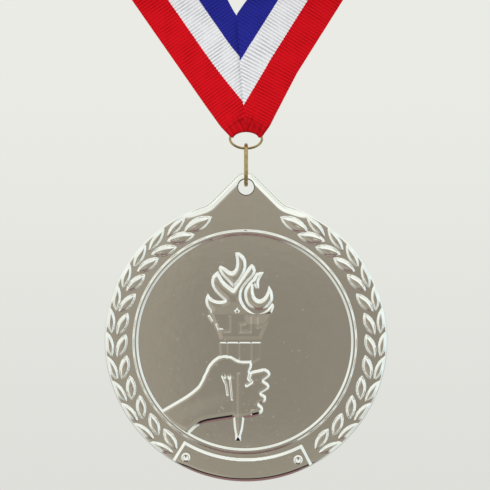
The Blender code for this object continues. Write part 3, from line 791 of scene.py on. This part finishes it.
def build_medal(silver):
    """One closed shell: face, rounded rim, wall, rounded back edge, back, and the hole through it."""
    points, normals, faces = [], [], []
    edges = {}
    side = np.array((0.17, 0.29, 0.41, 0.53, 0.64, RING_HALF, 0.9))
    bead = RING_RADIUS + np.concatenate((-side[::-1], (0.0,), side))
    line = -BACK_LINE + np.array((-0.7, -0.3, -0.15, 0.0, 0.15, 0.3, 0.7))
    recess = BACK_RECESS + np.concatenate((line, np.linspace(-0.6, 0.4, 6)))
    for name, height, sign, fine, coarse, turned in (
        ("face", face_height, -1.0, 0.2, 1.3, [(RING_SHIFT, bead, 0.2)]),
        ("back", back_height, 1.0, 0.6, 2.6, [((0.0, 0.0), recess, 0.6)]),
    ):
        net, triangles = surface_net(height, fine, coarse, turned)
        x, z = net[:, 0], net[:, 1]
        level = height(x, z)
        normal = surface_normals(height, x, z)
        start = sum(len(block) for block in points)
        points.append(np.column_stack((x, sign * level, z)))
        normals.append(normal * (1.0, sign, 1.0))
        first, second, third = (net[triangles[:, corner]] for corner in range(3))
        flip = (np.cross(second - first, third - first) > 0.0) == (sign > 0.0)
        triangles[flip] = triangles[flip][:, ::-1]
        faces += (triangles + start).tolist()
        outer, hole = len(blank_edge(0.0)), len(hole_edge(0.0))
        edges[name] = (np.arange(outer) + start, np.arange(hole) + outer + start, level)

    total = sum(len(block) for block in points)
    for which, edge, rounding in ((0, blank_edge, RIM_ROUND), (1, hole_edge, HOLE_ROUND)):
        away = outward(edge(0.0)) * (1.0 if which == 0 else -1.0)
        rings = [edges["face"][which]]
        quarter = (22.5, 45.0, 67.5, 90.0)
        for name, sign, angles in (("face", -1.0, quarter), ("back", 1.0, quarter[::-1])):
            first = edges[name][which] - edges[name][0][0]
            level = edges[name][2][first]
            for angle in np.radians(angles):
                loop = edge(rounding * (1.0 - math.sin(angle)))
                y = sign * (level - rounding * (1.0 - math.cos(angle)))
                points.append(np.column_stack((loop[:, 0], y, loop[:, 1])))
                tilt = np.full(len(loop), sign * math.cos(angle))
                normals.append(np.column_stack((
                    away[:, 0] * math.sin(angle), tilt, away[:, 1] * math.sin(angle)
                )))
                rings.append(np.arange(len(loop)) + total)
                total += len(loop)
        rings.append(edges["back"][which])
        faces += net_quads(np.array(rings), joined=True, flipped=which == 1).tolist()
    medal = add_piece(
        "medal_relief", np.vstack(points), faces, silver, "medal", normals=np.vstack(normals)
    )
    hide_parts("medal_disc")


# ---------------------------------------------------------------- wire findings

def tube(name, path, radius, sides, across, material, body):
    """A round wire along a path of points in medal coordinates; across is a direction square to it."""
    path = np.asarray(path, float)
    along = unit(np.gradient(path, axis=0))
    side = unit(np.cross(along, across))
    other = np.cross(side, along)
    angles = np.linspace(0.0, math.tau, sides, endpoint=False)
    rows = path[:, None] + radius * (
        side[:, None] * np.cos(angles)[None, :, None] + other[:, None] * np.sin(angles)[None, :, None]
    )
    index = np.arange(len(path) * sides).reshape(len(path), sides)
    faces = [*net_quads(index, joined=True), index[0, ::-1], index[-1]]
    return add_piece(name, rows.reshape(-1, 3), faces, material, body, smooth_deg=50.0)


def build_findings(brass):
    """The oval ring and the link, each a bent wire whose two ends meet in a fine butt joint."""
    joint = 0.9
    angles = np.radians(np.linspace(90.0 + joint, 450.0 - joint, 160))
    path = np.column_stack((
        RING_HALF_WIDTH * np.cos(angles), np.zeros(len(angles)),
        RING_CENTRE + RING_HALF_HEIGHT * np.sin(angles),
    ))
    ring = tube("ring_wire", path, RING_WIRE, 20, (0.0, 1.0, 0.0), brass, "ring")
    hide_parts("oval_ring")

    middle = (LINK_HEAD + LINK_FOOT) / 2.0
    high, low = LINK_HEAD - LINK_BEND, LINK_FOOT + LINK_BEND
    bend = np.linspace(0.0, 180.0, 33)
    top, bottom = arc((0.0, high), LINK_BEND, bend), arc((0.0, low), LINK_BEND, bend + 180.0)
    rise = np.linspace(middle + 0.03, high, 8)[:-1]
    drop = np.linspace(low, middle - 0.03, 8)[1:]
    leg = np.full(len(rise), LINK_BEND)
    flat = np.vstack((np.column_stack((leg, rise)), top, bottom, np.column_stack((leg, drop))))
    path = np.column_stack((np.zeros(len(flat)), flat[:, 0], flat[:, 1]))
    loop = tube("link_wire", path, LINK_WIRE, 24, (1.0, 0.0, 0.0), brass, "link")
    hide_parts("connecting_link")


# ---------------------------------------------------------------- ribbon

def seam_x(z):
    """Where the seam and the middle of the gathered end lie, from the ring up."""
    top = RING_CENTRE + RING_HALF_HEIGHT
    return np.interp(z, (top, SEAM_FOOT[1], SEAM_TOP[1]), (0.0, SEAM_FOOT[0], SEAM_TOP[0]))


ARMS = {
    -1.0: {"edge": (-28.3, 84.3), "lean": 34.9, "kink": 58.0},
    1.0: {"edge": (24.05, 84.3), "lean": 32.2, "kink": 66.2},
}


def creased(x, depth, z, side, up, foot):
    """Folds what lies beyond the crease back over, one layer on."""
    crease = unit(up + np.array((-side, 0.0)))
    beyond = np.array((crease[1], -crease[0])) * side
    past = (x - foot[0]) * beyond[0] + (z - foot[1]) * beyond[1]
    radius = LAYER / 2.0
    into = past + math.pi * radius / 2.0
    bent = np.clip(into / radius, 0.0, math.pi)
    new_past = np.where(
        into < 0.0, past,
        np.where(into > math.pi * radius, -past, radius * np.sin(bent) - math.pi * radius / 2.0),
    )
    moved = new_past - past
    depth = depth + side * radius * (1.0 - np.cos(bent))
    return np.stack((x + moved * beyond[0], depth, z + moved * beyond[1]), axis=-1)


def behind_ring(side, turn, wire, fan):
    """Rows of the end that stands up behind the ring, and rows round the ring's wire."""
    inner = unit(np.column_stack((-np.cos(turn) / RING_HALF_WIDTH, -np.sin(turn) / RING_HALF_HEIGHT)))
    around = np.arange(ROW_STEP, math.pi * WRAP_RADIUS, ROW_STEP)[::-1] / WRAP_RADIUS
    swing = around - math.pi / 2.0
    wrap = np.stack((
        wire[:, 0] + WRAP_RADIUS * np.cos(swing)[:, None] * inner[:, 0],
        WRAP_RADIUS * np.sin(swing)[:, None] * np.ones(len(SHARES)),
        wire[:, 1] + WRAP_RADIUS * np.cos(swing)[:, None] * inner[:, 1],
    ), axis=-1)
    rise = np.arange(0.0, FLAP, ROW_STEP)[::-1]
    tuck = (1.0 - SHARES)[None, :] * 0.9 * ease(rise, 0.0, 2.0)[:, None]
    flap = np.stack((
        wire[:, 0] + rise[:, None] * fan[:, 0] - side * tuck,
        WRAP_RADIUS - 0.1 * ease(rise, 0.0, 3.0)[:, None] * np.ones(len(SHARES)),
        wire[:, 1] + rise[:, None] * fan[:, 1],
    ), axis=-1)
    shift = seam_x(flap[:, -1, 2]) - flap[:, -1, 0]
    flap[..., 0] += shift[:, None] * SHARES ** 2
    return flap, wrap


def arm_rows(side):
    """One side of the ribbon from its stitched end behind the ring to its crease in the hank, as rows
    of points across the tape, with the distance from the red edge and along the tape of each."""
    arm = ARMS[side]
    lean = math.radians(arm["lean"])
    up = np.array((side * math.sin(lean), math.cos(lean)))
    kink = np.array(arm["edge"]) + up * (arm["kink"] - arm["edge"][1]) / up[1]
    foot = np.array(arm["edge"]) + up * (HANK_FOOT - arm["edge"][1]) / up[1]
    corner = np.array((side * CORNER[0], CORNER[1]))

    lower, upper = np.linalg.norm(kink - corner), np.linalg.norm(foot - kink)
    reach = lower + upper
    s = np.arange(0.0, reach + TAPE_WIDTH * 0.62, ROW_STEP)
    lower_up = (kink - corner) / lower
    bend = ease(s, lower - 4.0, lower + 4.0)[:, None]
    straight = np.where(s[:, None] < lower, corner + s[:, None] * lower_up, kink + (s[:, None] - lower) * up)
    heading = unit(lower_up * (1.0 - bend) + up * bend)
    inwards = np.column_stack((heading[:, 1], -heading[:, 0])) * -side

    ring_top = (0.0, RING_CENTRE + RING_HALF_HEIGHT)

    def reach_line(start, end):
        direction = np.array(end) - np.array(start)
        offset = np.array(start) - straight
        return (offset[:, 0] * direction[1] - offset[:, 1] * direction[0]) / (
            inwards[:, 0] * direction[1] - inwards[:, 1] * direction[0])

    low_reach, high_reach = reach_line(ring_top, SEAM_FOOT), reach_line(SEAM_FOOT, SEAM_TOP)
    low_hit = straight[:, 1] + low_reach * inwards[:, 1]
    wide = np.where(low_hit < SEAM_FOOT[1], low_reach, high_reach)
    crotch = np.interp(SEAM_TOP[1], straight[:, 1] + wide * inwards[:, 1], s)
    at_crotch = np.interp(crotch, s, wide)
    wide = np.where(s < crotch, wide, at_crotch + (TAPE_WIDTH - at_crotch) * ease(s, crotch, crotch + 9.0))

    share = SHARES
    across = wide[:, None] * share
    flat = straight[:, None] + across[..., None] * inwards[:, None]

    # Gathered end: rows turn to follow the top of the ring.
    turn = np.radians(90.0 - side * 80.0 * (1.0 - share))
    wire = np.column_stack((RING_HALF_WIDTH * np.cos(turn), RING_CENTRE + RING_HALF_HEIGHT * np.sin(turn)))
    fan = unit(lower_up * (1.0 - share)[:, None] + np.array((-0.16, 1.0)) * share[:, None])
    gathered = 1.0 - ease(s, 0.0, GATHER)
    target = wire + s[:, None, None] * fan * (1.0 + 0.35 * share)[:, None]
    flat = flat * (1.0 - gathered)[:, None, None] + target * gathered[:, None, None]
    shift = np.where(s < crotch, seam_x(flat[:, -1, 1]) - flat[:, -1, 0], 0.0)
    flat[..., 0] += shift[:, None] * share ** 2

    x, z = flat[..., 0], flat[..., 1]
    depth = -WRAP_RADIUS * gathered[:, None] ** 3 * np.ones_like(x)
    pleat = np.sin(share * 7.0 * math.pi + 0.9 + 0.35 * side) + 0.6 * np.sin(share * 10.0 * math.pi + side)
    pleated = ease(s, 0.0, 0.7) * (1.0 - ease(s, 1.5, 6.5))
    depth += 0.2 * pleat * pleated[:, None] * np.sin(np.pi * share) ** 0.4
    stitched = ease(s, 2.0, 5.0) * (1.0 - ease(s, crotch - 2.0, crotch))
    depth += SEAM_SINK * stitched[:, None] * np.clip((share - 0.97) / 0.03, 0.0, 1.0) ** 1.5
    wave = np.sin(s / 8.5 + side) * 0.10 + np.sin(s / 3.7 + 2.0 * side) * 0.03
    depth += (wave * ease(s, 6.0, 16.0) * (1.0 - ease(s, reach - 12.0, reach - 4.0)))[:, None] * (1.0 - share)
    depth -= LAYER / 2.0 * ease(z, 74.0, HANK_FOOT)

    front = creased(x, depth, z, side, up, foot)
    flap, wrap = behind_ring(side, turn, wire, fan)
    rows = np.concatenate((flap, wrap, front))
    woven = across * (1.0 - 0.09 * (1.0 - ease(s, 2.0, 20.0)))[:, None]
    tape = np.concatenate((np.repeat(woven[:1], len(flap) + len(wrap), axis=0), woven))
    ribbed = np.concatenate((np.ones(len(flap)), np.zeros(len(wrap)), ease(s, 0.6, 2.6)))
    return rows, tape, ribbed, foot[0] - side * (s[-1] - reach)


def hank_path(start, end):
    """The folded runs between the two creases, as X and Y of the tape's middle: five runs forwards, once
    round the right-hand end, and six back in. Loops get a little uneven."""
    first = -LAYER / 2.0
    levels = [first - LAYER * k for k in range(1, 6)] + [first + LAYER * k for k in range(6, 0, -1)]
    left, right, wrap = HANK_LEFT + 1.1, HANK_RIGHT - 3.6, HANK_RIGHT - 3.75
    points = [(start, levels[0])]
    heading = 1.0
    for index, level in enumerate(levels[:-1]):
        following = levels[index + 1]
        middle, radius = (level + following) / 2.0, abs(following - level) / 2.0
        round_end = index == 4
        if round_end:
            turn_x = wrap
        elif heading > 0:
            turn_x = right + 0.5 * math.sin(2.0 * index)
        else:
            turn_x = left + 0.6 * math.sin(1.3 * index)
        for angle in np.linspace(-90.0, 90.0, 15 if round_end else 9):
            swing = math.radians(angle) * (1.0 if following > level else -1.0)
            points.append((
                turn_x + heading * radius * math.cos(swing), middle + radius * math.sin(swing),
            ))
        heading = -heading
    points.append((end, levels[-1]))
    return np.array(points)


def build_ribbon():
    """The whole tape as one closed sheet, from its end behind the ring's left to its end on the right."""
    left, left_across, left_ribbed, left_end = arm_rows(-1.0)
    right, right_across, right_ribbed, right_end = arm_rows(1.0)
    path = hank_path(left_end, right_end)
    length = np.concatenate(([0.0], np.cumsum(np.linalg.norm(np.diff(path, axis=0), axis=1))))
    steps = round(length[-1] / ROW_STEP)
    at = np.linspace(0.0, length[-1], steps + 1)[1:-1]
    x, y = np.interp(at, length, path[:, 0]), np.interp(at, length, path[:, 1])
    across = np.tile(TAPE_WIDTH * SHARES, (len(at), 1))
    drift = 0.28 * np.sin(at / 21.0) * ease(at, 0.0, 30.0) * (1.0 - ease(at, length[-1] - 30.0, length[-1]))
    runs = np.stack((
        np.repeat(x[:, None], COLUMNS + 1, axis=1),
        np.repeat(y[:, None], COLUMNS + 1, axis=1),
        HANK_FOOT + across + drift[:, None],
    ), axis=-1)

    rows = np.concatenate((left, runs, right[::-1]))
    across = np.concatenate((left_across, across, right_across[::-1]))
    loose = 0.92 + 0.34 * ease(np.abs(rows[..., 0] - TIE_X), TIE_HALF_WIDTH, 30.0)
    loose = 1.0 + (loose - 1.0) * ease(rows[..., 2], HANK_FOOT - 6.0, HANK_FOOT)
    rows[..., 1] *= loose

    count = len(rows)
    normal = unit(np.cross(np.gradient(rows, axis=0), np.gradient(rows, axis=1)))
    ribbed = np.concatenate((left_ribbed, np.ones(len(runs)), right_ribbed[::-1]))
    v = np.cumsum(ribbed) * ROW_STEP
    v -= v[len(left)]
    half = TAPE_THICKNESS / 2.0 - RIB_DEPTH * ribbed * np.clip(np.cos(v * math.tau / RIB_PITCH), 0.0, 1.0)
    half = half[:, None, None] * np.ones((1, COLUMNS + 1, 1))
    half[:, (0, -1)] *= 0.75
    points = np.concatenate(((rows + normal * half).reshape(-1, 3), (rows - normal * half).reshape(-1, 3)))
    held = np.flatnonzero(ribbed == 0.0)
    folds = (float(v[held[0]]), float(v[held[-1]]))
    v = np.repeat(v[:, None], COLUMNS + 1, axis=1)
    uv = np.column_stack((across.ravel(), v.ravel()))

    ribbon = add_piece(
        "neck_ribbon", points, shell_quads(count, COLUMNS + 1, flipped=True), ribbon_material(folds),
        smooth_deg=75.0, uv=np.vstack((uv, uv)),
    )
    high, low = to_row(((0.0, 0.0, FLEX_HEIGHT + FLEX_HALF), (0.0, 0.0, FLEX_HEIGHT - FLEX_HALF)))
    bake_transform(ribbon)
    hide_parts("ribbon_hank", "ribbon_left_arm", "ribbon_right_arm", "ribbon_ring_loop")


def build_stitches(cotton):
    """Whip stitches behind the seam, and a row across the folded-back end."""
    path = []
    stitches, steps, span = 15, 8, 22.0
    middle = (SEAM_FOOT[1] + SEAM_TOP[1]) / 2.0
    for step in range(stitches * steps + 1):
        z = middle + span * (step / (stitches * steps) - 0.5)
        turn = math.tau * step / steps
        path.append((float(seam_x(z)) + 0.6 * math.sin(turn), 0.3 + 0.44 * abs(math.cos(turn)), z))
    thread = tube("seam_stitching", path, THREAD, 8, (0.0, 1.0, 0.01), cotton, "ribbon")
    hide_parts("seam_thread")

    hem = []
    stitches, left, span, height = 9, -5.6, 10.6, 58.4
    for step in range(stitches * steps + 1):
        x = left + span * step / (stitches * steps)
        over = math.sin(math.tau * step / steps) > -0.3
        hem.append((x, 0.8 if over else 0.5, height + 0.02 * x))
    hemmed = tube("flap_stitching", hem, THREAD, 8, (0.0, 1.0, 0.01), cotton, "ribbon")


def build_tie(elastic):
    """A knitted elastic band round the hank, with lengthwise cords and a lapped, sewn join behind."""
    side, low, high = TIE_HALF_DEPTH, HANK_FOOT - TIE_CLEAR, HANK_FOOT + TAPE_WIDTH + TIE_CLEAR
    side, low, high = side - TIE_CORNER, low + TIE_CORNER, high - TIE_CORNER
    corners = ((side, high, 0.0), (-side, high, 90.0), (-side, low, 180.0), (side, low, 270.0))
    outline = np.vstack([
        arc((y, z), TIE_CORNER, np.linspace(start, start + 90.0, 9)) for y, z, start in corners
    ])
    length = np.linalg.norm(np.roll(outline, -1, axis=0) - outline, axis=1)
    length = np.concatenate(([0.0], np.cumsum(length)))
    closed = np.vstack((outline, outline[:1]))
    count, wide = 150, 29
    at = np.linspace(0.0, length[-1], count, endpoint=False)
    y, z = np.interp(at, length, closed[:, 0]), np.interp(at, length, closed[:, 1])
    along = unit(np.column_stack((np.roll(y, -1) - np.roll(y, 1), np.roll(z, -1) - np.roll(z, 1))))
    out = np.column_stack((along[:, 1], -along[:, 0]))
    across = np.linspace(-1.0, 1.0, wide)
    cords = 0.3 + 0.07 * np.cos(across * math.pi * 7.0)
    cords *= np.sqrt(1.0 - 0.55 * across ** 8)
    knit = 0.02 * np.sin(np.arange(count) * math.pi / 1.5)
    lap = 0.28 * (ease(z, 92.0, 92.5) * (1.0 - ease(z, 97.5, 98.0)) * (y > 3.0))
    points = []
    for sign in (1.0, -1.0):
        lift = sign * (cords[None, :] + knit[:, None]) + (lap[:, None] if sign > 0 else 0.0)
        points.append(np.stack((
            TIE_X + TIE_HALF_WIDTH * across[None, :] * np.ones((count, 1)),
            y[:, None] + out[:, :1] * lift,
            z[:, None] + out[:, 1:] * lift,
        ), axis=-1).reshape(-1, 3))
    faces = shell_quads(count, wide, closed=True)
    band = add_piece("hank_tie", np.vstack(points), faces, elastic, "ribbon", smooth_deg=60.0)
    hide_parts("hank_band")


# ---------------------------------------------------------------- studio

def build_world():
    """A soft studio as a shiny surface sees it: white all round and above, a grey-brown room behind the
    camera, and low in front a dark gap over a brown strip. The camera itself sees a plain backdrop."""
    world = bpy.data.worlds.new("studio")
    bpy.context.scene.world = world
    world.use_nodes = True
    tree = world.node_tree
    tree.nodes.clear()
    output = tree.nodes.new("ShaderNodeOutputWorld")
    coordinates = tree.nodes.new("ShaderNodeTexCoord")
    split = tree.nodes.new("ShaderNodeSeparateXYZ")
    link(coordinates.outputs["Generated"], split.inputs["Vector"])
    right, away, up = split.outputs["X"], split.outputs["Y"], split.outputs["Z"]

    facing = remap(away, 0.05, -0.12)
    wide = times(right, 1.0 / ROOM_WIDE)
    tall = times(plus(up, ROOM_DROP), 1.0 / ROOM_TALL)
    reach = math_node("POWER", plus(times(wide, wide), times(tall, tall)), 0.5)
    room = times(remap(reach, 1.2, 0.88), facing)
    sides = times(remap(right, -0.46, -0.24), remap(right, 0.46, 0.24))
    low = times(sides, facing)
    gap = times(remap(up, *GAP_TOP), low)
    brown = times(remap(up, *BROWN_TOP), low)

    tint = mix_colour(remap(right, 0.5, 0.95), (0.93, 0.97, 0.905), (0.86, 0.97, 0.98))
    behind = remap(up, -0.45, 0.6, 0.34, 1.0)
    before = remap(up, -1.0, 0.1, 0.8, 1.0)
    level = plus(times(before, facing), times(behind, math_node("SUBTRACT", 1.0, facing)))
    clouds = noise(coordinates.outputs["Generated"], 2.6, 2.0)
    white = scaled(tint, times(level, remap(clouds, 0.3, 0.7, 0.84, 1.1)))
    lift = plus(remap(up, -0.022, 0.015, 1.0, 1.27), remap(up, -0.064, -0.079, 0.0, 0.2))
    slope = plus(remap(right, -0.037, -0.013, 1.24, 0.98), remap(right, 0.02, 0.031, 0.0, 0.05))
    fade = times(slope, lift)
    colour = mix_colour(room, white, scaled((0.272, 0.247, 0.199), fade))
    colour = mix_colour(gap, colour, (0.015, 0.013, 0.015))
    colour = mix_colour(brown, colour, (0.29, 0.165, 0.16))
    rays = tree.nodes.new("ShaderNodeLightPath")
    soft = scaled((1.0, 1.01, 1.0), remap(up, -0.9, 0.9, 0.03, 0.33))
    colour = mix_colour(rays.outputs["Is Diffuse Ray"], colour, soft)

    studio = tree.nodes.new("ShaderNodeBackground")
    link(colour, studio.inputs["Color"])
    backdrop = tree.nodes.new("ShaderNodeBackground")
    pale = mix_colour(remap(up, -0.1, 0.08), (0.735, 0.74, 0.70), (0.825, 0.832, 0.785))
    link(pale, backdrop.inputs["Color"])
    mix = tree.nodes.new("ShaderNodeMixShader")
    link(rays.outputs["Is Camera Ray"], mix.inputs["Fac"])
    link(studio.outputs["Background"], mix.inputs[1])
    link(backdrop.outputs["Background"], mix.inputs[2])
    link(mix.outputs["Shader"], output.inputs["Surface"])


def build_floor():
    """A plain pale floor well below the medal, fading into the backdrop."""
    height = to_row((0.0, 0.0, -DISC_RADIUS))[0][2] - FLOOR_DROP
    rings, spokes = 12, 96
    turns = np.linspace(0.0, 360.0, spokes, endpoint=False)
    flat = np.vstack([arc((0.0, 0.0), FLOOR_RADIUS * ring / rings, turns) for ring in range(1, rings + 1)])
    points = [(0.0, 0.0, height), *((x, y, height) for x, y in flat.tolist())]
    index = np.arange(1, 1 + rings * spokes).reshape(rings, spokes)
    middle = [(0, int(near), int(far)) for near, far in zip(index[0], np.roll(index[0], -1))]
    faces = middle + net_quads(index, joined=True, flipped=True).tolist()
    mesh = bpy.data.meshes.new("pale_floor")
    mesh.from_pydata(points, [], faces)
    floor = bpy.data.objects.new("pale_floor", mesh)
    bpy.context.scene.collection.objects.link(floor)
    material, tree, shader = new_material("pale_floor", (0.8, 0.795, 0.78), 0.9)
    place = object_coordinates(tree)
    length = tree.nodes.new("ShaderNodeVectorMath")
    length.operation = "LENGTH"
    flat = object_coordinates(tree, (1.0, 1.0, 0.0))
    link(flat, length.inputs[0])
    solid = remap(length.outputs["Value"], FLOOR_RADIUS * 0.45, FLOOR_RADIUS * 0.97, 1.0, 0.0)
    link(solid, shader.inputs["Alpha"])
    tint = mix_colour(noise(place, 60.0, 4.0), (0.79, 0.785, 0.77), (0.81, 0.805, 0.79))
    link(tint, shader.inputs["Base Color"])
    link(tint, shader.inputs["Emission Color"])
    shader.inputs["Emission Strength"].default_value = 0.6
    mesh.materials.append(material)
    floor.visible_glossy = False
    floor.visible_diffuse = False


def build_camera():
    """Square on to the medal's face, through a long lens, framed from its foot to the ribbon's V."""
    frame_width, middle_x, middle_z, lens = 121.5, -0.25, 23.6, 200.0
    camera = bpy.data.cameras.new("camera")
    camera.lens = lens
    distance = frame_width * MM * lens / camera.sensor_width
    holder = bpy.data.objects.new("camera", camera)
    place = to_row(((middle_x, 0.0, middle_z),))[0]
    holder.location = (place[0], -distance, place[2])
    holder.rotation_euler = (math.radians(90.0), 0.0, 0.0)
    bpy.context.scene.collection.objects.link(holder)
    bpy.context.scene.camera = holder


def build_lights():
    """One large soft light in front, a little to the left, which models the cloth and isn't mirrored."""
    lamp = bpy.data.lights.new("softbox", "AREA")
    lamp.shape = "DISK"
    lamp.size = LAMP_SIZE
    lamp.energy = LAMP_POWER
    holder = bpy.data.objects.new("softbox", lamp)
    holder.location = LAMP_PLACE
    aim = Vector(LAMP_AIM) - holder.location
    holder.rotation_euler = aim.to_track_quat("-Z", "Y").to_euler()
    holder.visible_glossy = False
    bpy.context.scene.collection.objects.link(holder)


build_camera()
build_world()
build_lights()
build_floor()
build_medal(silver_material())
build_findings(brass_material())
build_tie(thread_material("elastic_band", (0.78, 0.77, 0.73), (9000.0, 2200.0, 2200.0)))
build_ribbon()
build_stitches(thread_material("sewing_thread", (0.62, 0.62, 0.63), (3000.0, 3000.0, 9000.0)))
bpy.context.scene.view_settings.view_transform = "Standard"
